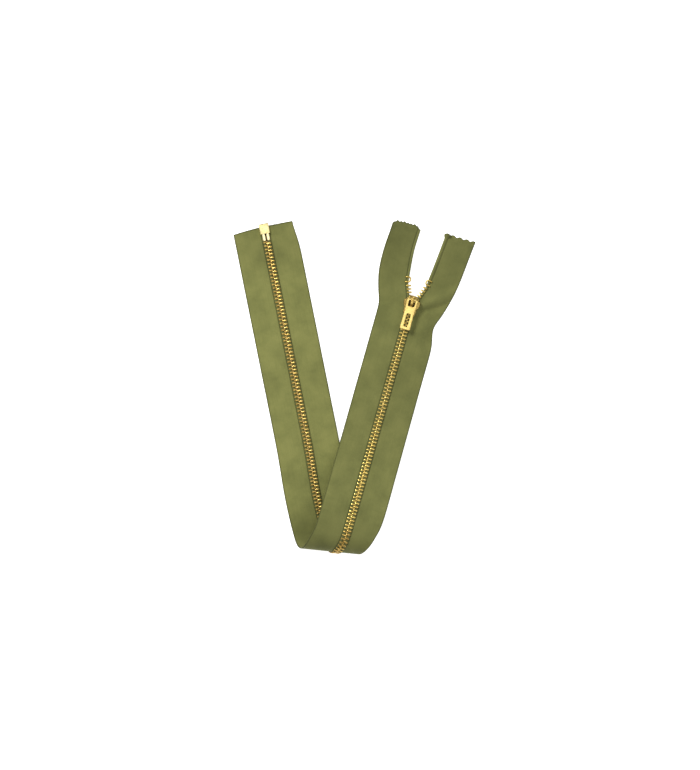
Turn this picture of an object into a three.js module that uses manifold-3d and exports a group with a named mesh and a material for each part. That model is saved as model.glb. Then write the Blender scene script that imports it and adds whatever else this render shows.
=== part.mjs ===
// A separating metal zipper laid flat and folded over once, so that its lower leg shows its back and its
// upper leg, which carries the slider, its front. Millimetres, +Z up, the table at Z = 0.
import * as THREE from 'three';
import Module from 'manifold-3d';

const wasm = await Module();
wasm.setup();

// Chain and tape
const PITCH = 2.0; // tooth to tooth along one side
const TOOTH_LENGTH = 0.86; // of one tooth along the chain
const TOOTH_HEIGHT = 2.3;
const TOOTH_TIP = 0.6; // how far a head reaches past the centre line
const TOOTH_ROOT = 1.0; // where the heads end and the legs on the cord begin
const CHAIN_HALF = 2.2; // half the width of the closed chain
const TAPE_INNER = 2.3;
const TAPE_OUTER = 17.7; // half the width of the closed zipper
const TAPE_THICKNESS = 0.5;
const CORD_INNER = 0.95; // the corded edge of the tape, which the teeth are crimped on
const CORD_HALF_HEIGHT = 0.45;

// The fold: both legs lie on a bent sheet whose bending lines run along one crease direction
const CREASE_TILT = 5.8; // degrees, from the row's X axis
const LOWER_LEG_ANGLE = 11.4; // degrees from the row's Y axis
const UPPER_LEG_ANGLE = 15.73;
const FOLD_ANGLE = 23.3; // degrees between the chain and the crease's normal, inside the fold
const FOLD_RADIUS = 8.0;
const LANDING_ANGLE = 15; // slope of the upper leg as it comes down off the fold
const LANDING_RADIUS = 120;
const LOWER_BEND = 33; // length over which the lower leg swings into the fold
const UPPER_BEND = 19;
const HOOK_ANGLE = 2.6; // the lower leg swings out a little before it swings in
const HOOK_NEAR = 15;
const HOOK_FAR = 40;
const LOWER_LENGTH = 189.6; // from the middle of the fold to the cut end at the box
const UPPER_LENGTH = 151.6; // from the middle of the fold to the slider's centre
const LOWER_Z = 1.15; // height of the chain's middle plane
const UPPER_Z = 2.2;
const ORIGIN = [10.99, 91.1]; // from the fold's middle to the centre of the whole part

// The open ends above the slider, as distance up the leg from the slider's centre and distance from the centre line
const SPLIT_START = -3.2;
const MOUTH_OFFSET = 1.65;
const LEFT_OPENING = [[SPLIT_START, 0], [3.4, MOUTH_OFFSET], [11, 4.1], [41.4, 6.9]];
const RIGHT_OPENING = [[SPLIT_START, 0], [3.4, MOUTH_OFFSET], [11, 4.2], [43, 7.5]];
const TRAVEL = 60; // of the slider down the straight part of the upper leg
const PIVOT_BELOW = 8; // the open ends part this far below the lowest place of the slider's centre
const OPENING_ANGLE = 10; // that each side swings out by when the slider is down
const FOLD_CUT = 26; // the fold's pieces reach this far each way along the chain
const CUT_GAP = 0.3; // between two pieces of one tape or row

// Slider
const SLIDER_TOP = 3.6; // mouth edge, up the leg from the slider's centre
const SLIDER_TAIL = -7.2;
const SLIDER_HALF_WIDTH = 4.65;
const TAIL_HALF_WIDTH = 3.5;
const NOSE_HALF_WIDTH = 2.5;
const PLATE = 0.8;
const PLATE_GAP = 2.8; // between the two plates
const TAPE_SLOT = 1.2; // between the facing flanges
const DIAMOND_HALF_WIDTH = 0.8;
const DIAMOND_POINT = 0.7;
const CROWN_WIDTH = 1.7;
const CROWN_REAR = -2.3;
const CROWN_FRONT = 2.9;
const CROWN_HEIGHT = 2.5;
const CROWN_THICKNESS = 0.75;
const PAWL_WIDTH = 1.1;
const PAWL_HINGE = [-1.2, 0.45]; // up the leg, and above the top plate

// Pull
const PULL_HINGE = [1.1, 0.62]; // up the leg, and above the top plate
const PULL_LENGTH = 17.0;
const PULL_HALF_WIDTH = 2.9;
const PULL_THICKNESS = 0.9;
const PULL_EYE = 3.75; // length of the eye
const PULL_EYE_HALF_WIDTH = 1.85;
const PULL_SLOT = [8.0, 15.3]; // start and end of the slot near its free end
const PULL_SLOT_HALF_WIDTH = 1.1;
const PULL_BAR_RADIUS = 0.42;

// Box end
const BOX_HALF_WIDTH = 2.7;
const BOX_START = -1.4;
const BOX_END = 4.3;
const BOX_FRONT = 1.15; // from the chain's middle plane to the box's two faces
const BOX_BACK = 1.7;
const BOX_WALL = 0.55;
const PIN_START = -0.6;
const PIN_END = 8.2;
const PIN_INNER = 0.22;
const PIN_OUTER = 2.0;
const PIN_HALF_HEIGHT = 0.7;
const TEETH_START = 8.6; // from the cut end at the box

const rad = THREE.MathUtils.degToRad;
const BRASS = new THREE.MeshStandardMaterial({ color: 0xc9a95a, metalness: 1, roughness: 0.35 });
const DARK_BRASS = new THREE.MeshStandardMaterial({ color: 0xa08442, metalness: 1, roughness: 0.5 });
const OLIVE = new THREE.MeshStandardMaterial({ color: 0x7c7f49, roughness: 0.9 });
const STEEL = new THREE.MeshStandardMaterial({ color: 0x9b9b98, metalness: 1, roughness: 0.4 });

const group = new THREE.Group();
group.name = 'zipper';

function addMesh(name, geometry, material) {
  const mesh = new THREE.Mesh(geometry, material);
  mesh.name = name;
  group.add(mesh);
}

// The angle between the chain and the crease's normal, by distance along the chain from the middle of the fold.
const half = (FOLD_RADIUS * (Math.PI + rad(LANDING_ANGLE))) / 2;
const HEADINGS = [
  [-LOWER_BEND - HOOK_FAR, rad(LOWER_LEG_ANGLE + CREASE_TILT)],
  [-LOWER_BEND - HOOK_NEAR, rad(LOWER_LEG_ANGLE + CREASE_TILT - HOOK_ANGLE)],
  [-0.6 * half, rad(FOLD_ANGLE)],
  [0.6 * half, rad(FOLD_ANGLE)],
  [UPPER_BEND, rad(UPPER_LEG_ANGLE - CREASE_TILT)],
];

function heading(s) {
  if (s <= HEADINGS[0][0]) return HEADINGS[0][1];
  for (let i = 1; i < HEADINGS.length; i++) {
    const [s0, a0] = HEADINGS[i - 1];
    const [s1, a1] = HEADINGS[i];
    if (s <= s1) return a0 + ((a1 - a0) * (s - s0)) / (s1 - s0);
  }
  return HEADINGS[HEADINGS.length - 1][1];
}

// The chain's centre line on the unrolled sheet: along the crease, and across it.
const STEP = 0.1;
const spine = [[0, (FOLD_RADIUS * Math.PI) / 2]];
const spineBack = [[0, (FOLD_RADIUS * Math.PI) / 2]];
for (let i = 0; i < 2400; i++) {
  for (const [list, sign] of [[spine, 1], [spineBack, -1]]) {
    const angle = heading(sign * (i + 0.5) * STEP);
    const [a, b] = list[i];
    list.push([a + sign * STEP * Math.sin(angle), b + sign * STEP * Math.cos(angle)]);
  }
}

function onSheet(s, v) {
  const list = s >= 0 ? spine : spineBack;
  const k = Math.abs(s) / STEP;
  const i = Math.floor(k);
  const f = k - i;
  const angle = heading(s);
  return [
    list[i][0] * (1 - f) + list[i + 1][0] * f + v * Math.cos(angle),
    list[i][1] * (1 - f) + list[i + 1][1] * f - v * Math.sin(angle),
  ];
}

// The bent sheet's section: flat, round the fold, down a slope, and level again. Returns the distance towards
// the fold, the height, and the direction it runs in.
function section(b) {
  const r = FOLD_RADIUS;
  const slope = rad(LANDING_ANGLE);
  const arc = r * (Math.PI + slope);
  if (b < 0) return [b - r, LOWER_Z, 0];
  if (b < arc) return [r * Math.sin(b / r) - r, LOWER_Z + r * (1 - Math.cos(b / r)), b / r];
  const n1 = -r * Math.sin(slope) - r;
  const z1 = LOWER_Z + r * (1 + Math.cos(slope));
  const settle = LANDING_RADIUS * (1 - Math.cos(slope));
  const straight = (z1 - UPPER_Z - settle) / Math.sin(slope);
  const t = b - arc;
  if (t < straight) return [n1 - t * Math.cos(slope), z1 - t * Math.sin(slope), Math.PI + slope];
  const n2 = n1 - straight * Math.cos(slope);
  const left = slope - Math.min((t - straight) / LANDING_RADIUS, slope);
  const n3 = n2 - LANDING_RADIUS * (Math.sin(slope) - Math.sin(left));
  const z3 = UPPER_Z + LANDING_RADIUS * (1 - Math.cos(left));
  return [n3 - Math.max(t - straight - LANDING_RADIUS * slope, 0), z3, Math.PI + left];
}

const crease = new THREE.Vector3(Math.cos(rad(CREASE_TILT)), -Math.sin(rad(CREASE_TILT)), 0);
const toFold = new THREE.Vector3(-Math.sin(rad(CREASE_TILT)), -Math.cos(rad(CREASE_TILT)), 0);

// A point of the closed zipper: s along the chain, v across it, h out of its front face.
function onRibbon(s, v, h) {
  const [a, b] = onSheet(s, v);
  const [n, z, turn] = section(b);
  const p = new THREE.Vector3(-ORIGIN[0], -ORIGIN[1], 0);
  p.addScaledVector(crease, a);
  p.addScaledVector(toFold, n + h * Math.sin(turn));
  p.z = z - h * Math.cos(turn);
  return p;
}

// The straight part of the upper leg: its own axes, with their origin at the slider's centre.
const up = new THREE.Vector3(Math.sin(rad(UPPER_LEG_ANGLE)), Math.cos(rad(UPPER_LEG_ANGLE)), 0);
const across = new THREE.Vector3(up.y, -up.x, 0);
const sliderCentre = onRibbon(UPPER_LENGTH, 0, 0);

function onLeg(u, w, z) {
  return new THREE.Vector3(sliderCentre.x, sliderCentre.y, z).addScaledVector(up, u).addScaledVector(across, w);
}

// The centre line of one open side: a smooth curve through its opening's points, measured by its length.
function openingLine(points, side) {
  const line = [];
  const slope = points.map((p, i) => {
    if (i === 0) return 0;
    const q = points[Math.min(i + 1, points.length - 1)];
    const o = points[i - 1];
    return (q[1] - o[1]) / (q[0] - o[0]);
  });
  let length = 0;
  for (let i = 1; i < points.length; i++) {
    const [u0, w0] = points[i - 1];
    const [u1, w1] = points[i];
    const d = u1 - u0;
    for (let k = line.length ? 1 : 0; k <= 40; k++) {
      const t = k / 40;
      const w =
        (2 * t ** 3 - 3 * t ** 2 + 1) * w0 + (t ** 3 - 2 * t ** 2 + t) * d * slope[i - 1] +
        (3 * t ** 2 - 2 * t ** 3) * w1 + (t ** 3 - t ** 2) * d * slope[i];
      const u = u0 + t * d;
      const last = line[line.length - 1];
      if (last) length += Math.hypot(u - last.u, side * w - last.w);
      line.push({ u, w: side * w, length });
    }
  }
  return line;
}

const openings = { '-1': openingLine(LEFT_OPENING, -1), 1: openingLine(RIGHT_OPENING, 1) };

// A point of one side, -1 the left and 1 the right. Above the split, each side follows its own centre line.
function onSide(side, s, v, h) {
  const past = s - UPPER_LENGTH - SPLIT_START;
  if (past <= 0) return onRibbon(s, v, h);
  const line = openings[side];
  let i = 1;
  while (i < line.length - 1 && line[i].length < past) i++;
  const [p, q] = [line[i - 1], line[i]];
  const f = (past - p.length) / (q.length - p.length);
  const angle = Math.atan2(q.w - p.w, q.u - p.u);
  const u = p.u + f * (q.u - p.u) - v * Math.sin(angle);
  const w = p.w + f * (q.w - p.w) + v * Math.cos(angle);
  return onLeg(u, w, UPPER_Z + h);
}

// A closed mesh from faces given as lists of points, its faces turned outwards.
function closedMesh(faces) {
  const positions = [];
  for (const f of faces) for (let i = 2; i < f.length; i++) positions.push(f[0], f[i - 1], f[i]);
  let volume = 0;
  for (let i = 0; i < positions.length; i += 3) {
    volume += positions[i].dot(new THREE.Vector3().crossVectors(positions[i + 1], positions[i + 2]));
  }
  const values = [];
  for (let i = 0; i < positions.length; i += 3) {
    const t = volume > 0 ? [0, 1, 2] : [0, 2, 1];
    for (const k of t) values.push(...positions[i + k].toArray());
  }
  const geometry = new THREE.BufferGeometry();
  geometry.setAttribute('position', new THREE.Float32BufferAttribute(values, 3));
  geometry.computeVertexNormals();
  return geometry;
}

// A bar through a row of cross-sections with the same number of corners.
function skin(rings) {
  const faces = [[...rings[0]].reverse(), rings[rings.length - 1]];
  for (let i = 1; i < rings.length; i++) {
    const [a, b] = [rings[i - 1], rings[i]];
    for (let k = 0; k < a.length; k++) {
      const n = (k + 1) % a.length;
      faces.push([a[k], a[n], b[n]], [a[k], b[n], b[k]]);
    }
  }
  return closedMesh(faces);
}

// Places along the chain at which the tape needs a cross-section.
function stations(from, to) {
  const list = [from];
  while (list[list.length - 1] < to) {
    const s = list[list.length - 1];
    const inFold = s > -24 && s < 24;
    const nearFold = s >= -80 && s < 64;
    const opening = s > UPPER_LENGTH + SPLIT_START - 1;
    list.push(Math.min(s + (inFold ? 2 : nearFold ? 8 : opening ? 4 : 60), to));
    if (s < UPPER_LENGTH + SPLIT_START && list[list.length - 1] > UPPER_LENGTH + SPLIT_START) {
      list[list.length - 1] = UPPER_LENGTH + SPLIT_START;
    }
    for (const edge of [-80, -24]) if (s < edge && list[list.length - 1] > edge) list[list.length - 1] = edge;
  }
  return list;
}

const PLIES = 4;
function tape(side, from, to, slant) {
  const rings = stations(from, to).map((s, i) => {
    const ring = [];
    for (const [h, order] of [[TAPE_THICKNESS / 2, 0], [-TAPE_THICKNESS / 2, 1]]) {
      for (let k = 0; k <= PLIES; k++) {
        const t = (order ? PLIES - k : k) / PLIES;
        const v = TAPE_INNER + t * (TAPE_OUTER - TAPE_INNER);
        ring.push(onSide(side, s + (i ? 0 : v * slant), side * v, h));
      }
    }
    return ring;
  });
  const faces = [];
  const cap = (r, flip) => {
    for (let k = 0; k < PLIES; k++) {
      const quad = [r[k], r[k + 1], r[2 * PLIES - k], r[2 * PLIES + 1 - k]];
      faces.push(flip ? quad.reverse() : quad);
    }
  };
  cap(rings[0], true);
  cap(rings[rings.length - 1], false);
  for (let i = 1; i < rings.length; i++) {
    const [a, b] = [rings[i - 1], rings[i]];
    for (let k = 0; k < a.length; k++) {
      const n = (k + 1) % a.length;
      faces.push([a[k], a[n], b[n]], [a[k], b[n], b[k]]);
    }
  }
  return closedMesh(faces);
}

// One side's row of teeth, joined by their legs along the cord they are crimped on.
function toothRow(side, from, to) {
  const first = side < 0 ? 0 : PITCH / 2;
  const spans = [];
  const span = (s0, s1, tooth) => s1 - s0 > 1e-6 && spans.push({ s0, s1, tooth });
  let reached = from;
  for (let s = -LOWER_LENGTH + TEETH_START + first; s + TOOTH_LENGTH <= to; s += PITCH) {
    if (s < from) continue;
    span(reached, s, false);
    span(s, s + TOOTH_LENGTH, true);
    reached = s + TOOTH_LENGTH;
  }
  span(reached, to, false);
  const h = TOOTH_HEIGHT / 2;
  const at = (s, v, z) => onSide(side, s, side * v, z);
  const faces = [];
  const box = (s0, s1, v0, v1, walls) => {
    const c = [at(s0, v0, h), at(s1, v0, h), at(s1, v1, h), at(s0, v1, h)];
    const d = [at(s0, v0, -h), at(s1, v0, -h), at(s1, v1, -h), at(s0, v1, -h)];
    faces.push([c[0], c[1], c[2]], [c[0], c[2], c[3]], [d[0], d[2], d[1]], [d[0], d[3], d[2]]);
    for (const k of walls) {
      const n = (k + 1) % 4;
      faces.push([c[k], d[k], d[n]], [c[k], d[n], c[n]]);
    }
  };
  spans.forEach(({ s0, s1, tooth }, i) => {
    const walls = [2];
    if (!tooth) walls.push(0);
    if (i === 0) walls.push(3);
    if (i === spans.length - 1) walls.push(1);
    box(s0, s1, TOOTH_ROOT, CHAIN_HALF, walls);
    if (tooth) box(s0, s1, -TOOTH_TIP, TOOTH_ROOT, [0, 1, 3]);
  });
  return closedMesh(faces);
}

// Solids for joining and cutting
function toSolid(geometry) {
  const flat = geometry.index ? geometry.toNonIndexed() : geometry;
  const p = flat.attributes.position;
  const ids = new Map();
  const verts = [];
  const tris = [];
  for (let i = 0; i < p.count; i++) {
    const xyz = [p.getX(i), p.getY(i), p.getZ(i)].map((c) => Math.round(c * 1e5) / 1e5);
    const key = xyz.join();
    if (!ids.has(key)) {
      ids.set(key, verts.length / 3);
      verts.push(...xyz);
    }
    tris.push(ids.get(key));
  }
  const kept = [];
  for (let i = 0; i < tris.length; i += 3) {
    const [a, b, c] = tris.slice(i, i + 3);
    if (a !== b && b !== c && a !== c) kept.push(a, b, c);
  }
  return new wasm.Manifold(
    new wasm.Mesh({ numProp: 3, vertProperties: new Float32Array(verts), triVerts: new Uint32Array(kept) }),
  );
}

function fromSolid(solid) {
  const mesh = solid.getMesh();
  const geometry = new THREE.BufferGeometry();
  geometry.setAttribute('position', new THREE.Float32BufferAttribute(mesh.vertProperties, 3));
  geometry.setIndex([...mesh.triVerts]);
  return geometry;
}

// Moves a geometry made in the leg's axes (X across, Y up the leg, Z up) onto the leg.
function ontoLeg(geometry) {
  const m = new THREE.Matrix4().makeBasis(across, up, new THREE.Vector3(0, 0, 1));
  m.setPosition(sliderCentre.x, sliderCentre.y, 0);
  return geometry.applyMatrix4(m);
}

function outline(points) {
  return new THREE.Shape(points.map(([x, y]) => new THREE.Vector2(x, y)));
}

function slab(shape, z0, z1) {
  const geometry = new THREE.ExtrudeGeometry(shape, { depth: z1 - z0, bevelEnabled: false, curveSegments: 6 });
  return geometry.translate(0, 0, z0);
}

// A plate standing in the leg's up-and-height plane, as wide as told.
function sideCut(points, width) {
  const g = new THREE.ExtrudeGeometry(outline(points), { depth: width, bevelEnabled: false });
  g.translate(0, 0, -width / 2);
  return g.applyMatrix4(new THREE.Matrix4().makeBasis(
    new THREE.Vector3(0, 1, 0), new THREE.Vector3(0, 0, 1), new THREE.Vector3(1, 0, 0),
  ));
}

function brick(x0, x1, y0, y1, z0, z1) {
  return new THREE.BoxGeometry(x1 - x0, y1 - y0, z1 - z0).translate((x0 + x1) / 2, (y0 + y1) / 2, (z0 + z1) / 2);
}

// The slider's outline: a straight tail, two shoulders, and between the mouths a nose.
function sliderShape(top, tail) {
  const w = SLIDER_HALF_WIDTH;
  const t = TAIL_HALF_WIDTH;
  const n = NOSE_HALF_WIDTH;
  const s = new THREE.Shape();
  s.moveTo(-t, tail);
  s.lineTo(t, tail);
  s.lineTo(t + 0.1, -3.6);
  s.quadraticCurveTo(w, -2.2, w, -0.6);
  s.quadraticCurveTo(w, 1.2, w - 0.9, 1.2);
  s.quadraticCurveTo(n + 0.9, 1.3, n + 0.15, top - 1.1);
  s.quadraticCurveTo(n, top, n - 0.8, top);
  s.lineTo(-n + 0.8, top);
  s.quadraticCurveTo(-n, top, -n - 0.15, top - 1.1);
  s.quadraticCurveTo(-n - 0.9, 1.3, -w + 0.9, 1.2);
  s.quadraticCurveTo(-w, 1.2, -w, -0.6);
  s.quadraticCurveTo(-w, -2.2, -t - 0.1, -3.6);
  s.closePath();
  return s;
}

const bottomOfGap = UPPER_Z - PLATE_GAP / 2;
const topOfGap = UPPER_Z + PLATE_GAP / 2;
const plateTop = topOfGap + PLATE;

// The inside of the slider: a straight channel at the tail that widens into the two mouths.
function channel() {
  const c = CHAIN_HALF + 0.2;
  const m = CHAIN_HALF + MOUTH_OFFSET + 0.35;
  return outline([
    [-c, SLIDER_TAIL - 1], [c, SLIDER_TAIL - 1], [c, SPLIT_START - 0.4], [c + 0.6, -0.4], [m, SLIDER_TOP],
    [m + 0.4, SLIDER_TOP + 1], [-m - 0.4, SLIDER_TOP + 1], [-m, SLIDER_TOP], [-c - 0.6, -0.4],
    [-c, SPLIT_START - 0.4],
  ]);
}

const block = toSolid(slab(sliderShape(SLIDER_TOP, SLIDER_TAIL), bottomOfGap - PLATE, plateTop));
const tapeSlot = toSolid(brick(-9, 9, -12, 9, UPPER_Z - TAPE_SLOT / 2, UPPER_Z + TAPE_SLOT / 2));
const diamond = toSolid(slab(outline([
  [0, DIAMOND_POINT], [DIAMOND_HALF_WIDTH, SLIDER_TOP - 0.5], [0.5, SLIDER_TOP], [-0.5, SLIDER_TOP],
  [-DIAMOND_HALF_WIDTH, SLIDER_TOP - 0.5],
]), bottomOfGap - 0.1, topOfGap + 0.1));
const pawlHole = toSolid(brick(-0.75, 0.75, -1.05, 0.1, topOfGap - 0.2, plateTop + 0.2));
const sliderSolid = block
  .subtract(toSolid(slab(channel(), bottomOfGap, topOfGap)))
  .subtract(tapeSlot)
  .add(diamond)
  .subtract(pawlHole);
addMesh('slider_body', ontoLeg(fromSolid(sliderSolid)), BRASS);

// The crown: an arch that the pull's bar hangs in.
const arch = [
  [CROWN_REAR, 0.05], [CROWN_REAR + 0.2, CROWN_HEIGHT - 0.9], [CROWN_REAR + 1.1, CROWN_HEIGHT],
  [CROWN_FRONT - 1.1, CROWN_HEIGHT], [CROWN_FRONT - 0.2, CROWN_HEIGHT - 0.8], [CROWN_FRONT, 0.05],
  [CROWN_FRONT - CROWN_THICKNESS, 0.05], [CROWN_FRONT - CROWN_THICKNESS - 0.3, CROWN_HEIGHT - CROWN_THICKNESS],
  [CROWN_REAR + CROWN_THICKNESS + 0.3, CROWN_HEIGHT - CROWN_THICKNESS], [CROWN_REAR + CROWN_THICKNESS, 0.05],
].map(([u, z]) => [u, z + plateTop]);
addMesh('crown', ontoLeg(sideCut(arch, CROWN_WIDTH)), BRASS);

// The locking pawl: a lever whose pin drops through the top plate, under a leaf spring.
const pawlTop = PAWL_HINGE[1] + 0.2;
const pawl = [
  [PAWL_HINGE[0] - 0.2, PAWL_HINGE[1] - 0.2], [-0.8, PAWL_HINGE[1] - 0.2], [-0.75, -0.75], [-0.25, -0.75],
  [-0.2, PAWL_HINGE[1] - 0.2], [0.4, PAWL_HINGE[1] - 0.2], [0.5, pawlTop], [PAWL_HINGE[0] - 0.2, pawlTop],
].map(([u, z]) => [u, z + plateTop]);
addMesh('lock_pawl', ontoLeg(sideCut(pawl, PAWL_WIDTH)), STEEL);
const leaf = brick(-0.5, 0.5, -1.2, 1.5, plateTop + CROWN_HEIGHT - CROWN_THICKNESS - 0.25,
  plateTop + CROWN_HEIGHT - CROWN_THICKNESS - 0.05);
addMesh('pawl_spring', ontoLeg(leaf), STEEL);

// The pull: an eye whose end bar is round, and a flat tab with a slot.
const pullZ = plateTop + PULL_HINGE[1];
const hingeU = PULL_HINGE[0];
const tab = new THREE.Shape();
const w0 = PULL_HALF_WIDTH;
const end = hingeU - PULL_LENGTH;
tab.moveTo(-w0, hingeU);
tab.lineTo(-w0 - 0.05, hingeU - 4);
tab.quadraticCurveTo(-w0 + 0.2, hingeU - 6, -w0 + 0.15, hingeU - 9);
tab.lineTo(-w0, end + 0.8);
tab.quadraticCurveTo(-w0, end, -w0 + 0.8, end);
tab.lineTo(w0 - 0.8, end);
tab.quadraticCurveTo(w0, end, w0, end + 0.8);
tab.lineTo(w0 - 0.15, hingeU - 9);
tab.quadraticCurveTo(w0 - 0.2, hingeU - 6, w0 + 0.05, hingeU - 4);
tab.lineTo(w0, hingeU);
tab.closePath();
const eye = brick(-PULL_EYE_HALF_WIDTH, PULL_EYE_HALF_WIDTH, hingeU - PULL_EYE, hingeU + 1, pullZ - 2, pullZ + 2);
const slot = slab(outline([
  [-PULL_SLOT_HALF_WIDTH, hingeU - PULL_SLOT[1]], [PULL_SLOT_HALF_WIDTH, hingeU - PULL_SLOT[1]],
  [PULL_SLOT_HALF_WIDTH, hingeU - PULL_SLOT[0]], [-PULL_SLOT_HALF_WIDTH, hingeU - PULL_SLOT[0]],
]), pullZ - 2, pullZ + 2);
const bar = new THREE.CylinderGeometry(PULL_BAR_RADIUS, PULL_BAR_RADIUS, 2 * w0, 16)
  .rotateZ(Math.PI / 2).translate(0, hingeU, pullZ);
const pullSolid = toSolid(slab(tab, pullZ - PULL_THICKNESS / 2, pullZ + PULL_THICKNESS / 2))
  .subtract(toSolid(eye)).subtract(toSolid(slot)).add(toSolid(bar));
addMesh('pull_tab', ontoLeg(fromSolid(pullSolid)), BRASS);

// Tapes and rows of teeth
const pivotS = UPPER_LENGTH - TRAVEL - PIVOT_BELOW;
const mouthS = UPPER_LENGTH + SLIDER_TOP + 0.5;
// Each tape and row is cut into a flat lower part, the fold, the ramp off it, and the part that opens. The last
// cut is slanted, so that the opening sides can turn.
const halfGap = CUT_GAP / 2;
const PARTS = [
  ['lower', -LOWER_LENGTH, -FOLD_CUT - halfGap, 0],
  ['fold', -FOLD_CUT + halfGap, FOLD_CUT - halfGap, 0],
  ['ramp', FOLD_CUT + halfGap, pivotS - halfGap, 0],
  ['upper', pivotS + halfGap, null, Math.tan(rad(OPENING_ANGLE + 0.5))],
];
const SIDES = [['left', -1, LEFT_OPENING, 3], ['right', 1, RIGHT_OPENING, 4]];
for (const [name, side, points, teeth] of SIDES) {
  const line = openings[side];
  const endS = UPPER_LENGTH + SPLIT_START + line[line.length - 1].length;
  for (const [part, from, to, slant] of PARTS) {
    addMesh(`tape_${name}_${part}`, tape(side, from, to ?? endS, slant), OLIVE);
    addMesh(`teeth_${name}_${part}`, toothRow(side, Math.max(from, -LOWER_LENGTH + TEETH_START), to ?? mouthS), BRASS);
  }

  // The corded edge that goes on above the slider, with its last few teeth and the top stop crimped on it
  const corner = (s, v, h) => onSide(side, s, side * v, h);
  const bar = (s0, s1, v0, v1, h0, h1, steps) => {
    const rings = [];
    for (let k = 0; k <= steps; k++) {
      const s = s0 + ((s1 - s0) * k) / steps;
      rings.push([corner(s, v0, h0), corner(s, v1, h0), corner(s, v1, h1), corner(s, v0, h1)]);
    }
    return skin(rings);
  };
  const c = CORD_HALF_HEIGHT;
  addMesh(`cord_${name}_end`, bar(mouthS + 0.1, endS, CORD_INNER, CHAIN_HALF, -c, c, 14), OLIVE);
  const clip = (s, length, nose, top) => {
    const solid = toSolid(bar(s, s + length, nose, CHAIN_HALF, -top, top, 1));
    return fromSolid(solid.subtract(toSolid(bar(s - 1, s + length + 1, CORD_INNER - 0.12, CHAIN_HALF + 1,
      -c - 0.1, c + 0.1, 1))));
  };
  const firstTooth = mouthS + 0.35 + (side > 0 ? -0.1 : 0.6);
  for (let k = 0; k < teeth; k++) {
    const s = firstTooth + k * PITCH * 0.93;
    addMesh(`tooth_${name}_${k + 1}`, clip(s, TOOTH_LENGTH, -TOOTH_TIP, TOOTH_HEIGHT / 2), BRASS);
  }
  addMesh(`top_stop_${name}`, clip(firstTooth + teeth * PITCH * 0.93 + 0.1, 3.6, -0.1, 1.2), BRASS);
}

// The box and the two pins, in the lower leg's own straight axes
const boxSolid = (() => {
  const s = -LOWER_LENGTH;
  const solid = (s0, s1, v0, v1, h0, h1) => {
    const ring = (t) => [[v0, h0], [v1, h0], [v1, h1], [v0, h1]].map(([v, h]) => onRibbon(s + t, v, h));
    return toSolid(skin([ring(s0), ring(s1)]));
  };
  const w = BOX_HALF_WIDTH;
  const sheet = 0.35;
  return solid(BOX_START, BOX_END, -w, w, -BOX_BACK, BOX_FRONT)
    .subtract(solid(BOX_START + BOX_WALL, BOX_END + 1, -w + BOX_WALL, w - BOX_WALL, sheet - BOX_BACK,
      BOX_FRONT - sheet))
    .subtract(solid(BOX_START + BOX_WALL, BOX_END + 1, -w - 1, w + 1, -0.42, 0.42));
})();
addMesh('retainer_box', fromSolid(boxSolid), BRASS);
for (const [name, side] of [['retaining_pin', -1], ['insertion_pin', 1]]) {
  const ring = (t, v0) => [[v0, -1], [PIN_OUTER, -1], [PIN_OUTER, 1], [v0, 1]].map(
    ([v, k]) => onRibbon(-LOWER_LENGTH + t, side * v, k * PIN_HALF_HEIGHT),
  );
  addMesh(name, skin([ring(PIN_START, PIN_INNER), ring(PIN_END, PIN_INNER)]), DARK_BRASS);
}

export default group;
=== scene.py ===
"""A separating brass zipper on olive tape, laid flat and folded over once."""

import math

import bpy
import numpy as np
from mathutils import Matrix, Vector, geometry


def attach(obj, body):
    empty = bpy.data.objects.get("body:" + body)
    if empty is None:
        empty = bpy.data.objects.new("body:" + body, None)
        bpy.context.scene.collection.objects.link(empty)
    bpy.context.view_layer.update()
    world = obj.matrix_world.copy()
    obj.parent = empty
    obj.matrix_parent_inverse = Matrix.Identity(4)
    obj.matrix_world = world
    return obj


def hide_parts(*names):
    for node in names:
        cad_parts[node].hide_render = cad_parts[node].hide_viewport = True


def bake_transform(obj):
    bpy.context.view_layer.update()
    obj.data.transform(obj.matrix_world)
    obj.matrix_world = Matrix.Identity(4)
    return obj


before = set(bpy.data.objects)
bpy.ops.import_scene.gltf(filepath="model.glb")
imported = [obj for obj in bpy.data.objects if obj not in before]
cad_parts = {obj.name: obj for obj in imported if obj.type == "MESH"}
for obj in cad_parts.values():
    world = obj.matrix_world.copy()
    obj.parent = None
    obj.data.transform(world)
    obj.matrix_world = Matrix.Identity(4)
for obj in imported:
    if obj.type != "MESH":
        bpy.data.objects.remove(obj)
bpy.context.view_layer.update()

MM = 0.001

# ---------------------------------------------------------------- the part's dimensions, in mm, as in the CAD
PITCH = 2.0  # tooth to tooth along one side
TOOTH_LENGTH = 0.86  # of one tooth along the chain
FREE_PITCH = 1.86  # tooth to tooth above the slider
TAPE_OUTER = 17.7  # half the width of the closed zipper
CREASE_TILT = math.radians(5.8)  # of the fold's crease from the X axis
LOWER_LEG_ANGLE = math.radians(11.4)  # from the Y axis
UPPER_LEG_ANGLE = math.radians(15.73)
FOLD_ANGLE = math.radians(23.3)  # between the chain and the crease's normal, inside the fold
FOLD_RADIUS = 8.0
LANDING_SLOPE = math.radians(15)  # of the upper leg as it comes down off the fold
LANDING_RADIUS = 120.0
LOWER_BEND = 33  # length over which the lower leg swings into the fold
UPPER_BEND = 19
HOOK_ANGLE = math.radians(2.6)  # the lower leg swings out a little before it swings in
HOOK_NEAR = 15
HOOK_FAR = 40
LOWER_LENGTH = 189.6  # from the middle of the fold to the cut end at the box
UPPER_LENGTH = 151.6  # from the middle of the fold to the slider's centre
LOWER_Z = 1.15  # height of the chain's middle plane
UPPER_Z = 2.2
ORIGIN = (10.99, 91.1)  # from the fold's middle to the centre of the whole part
SPLIT = UPPER_LENGTH - 3.2  # where the two sides part
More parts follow.
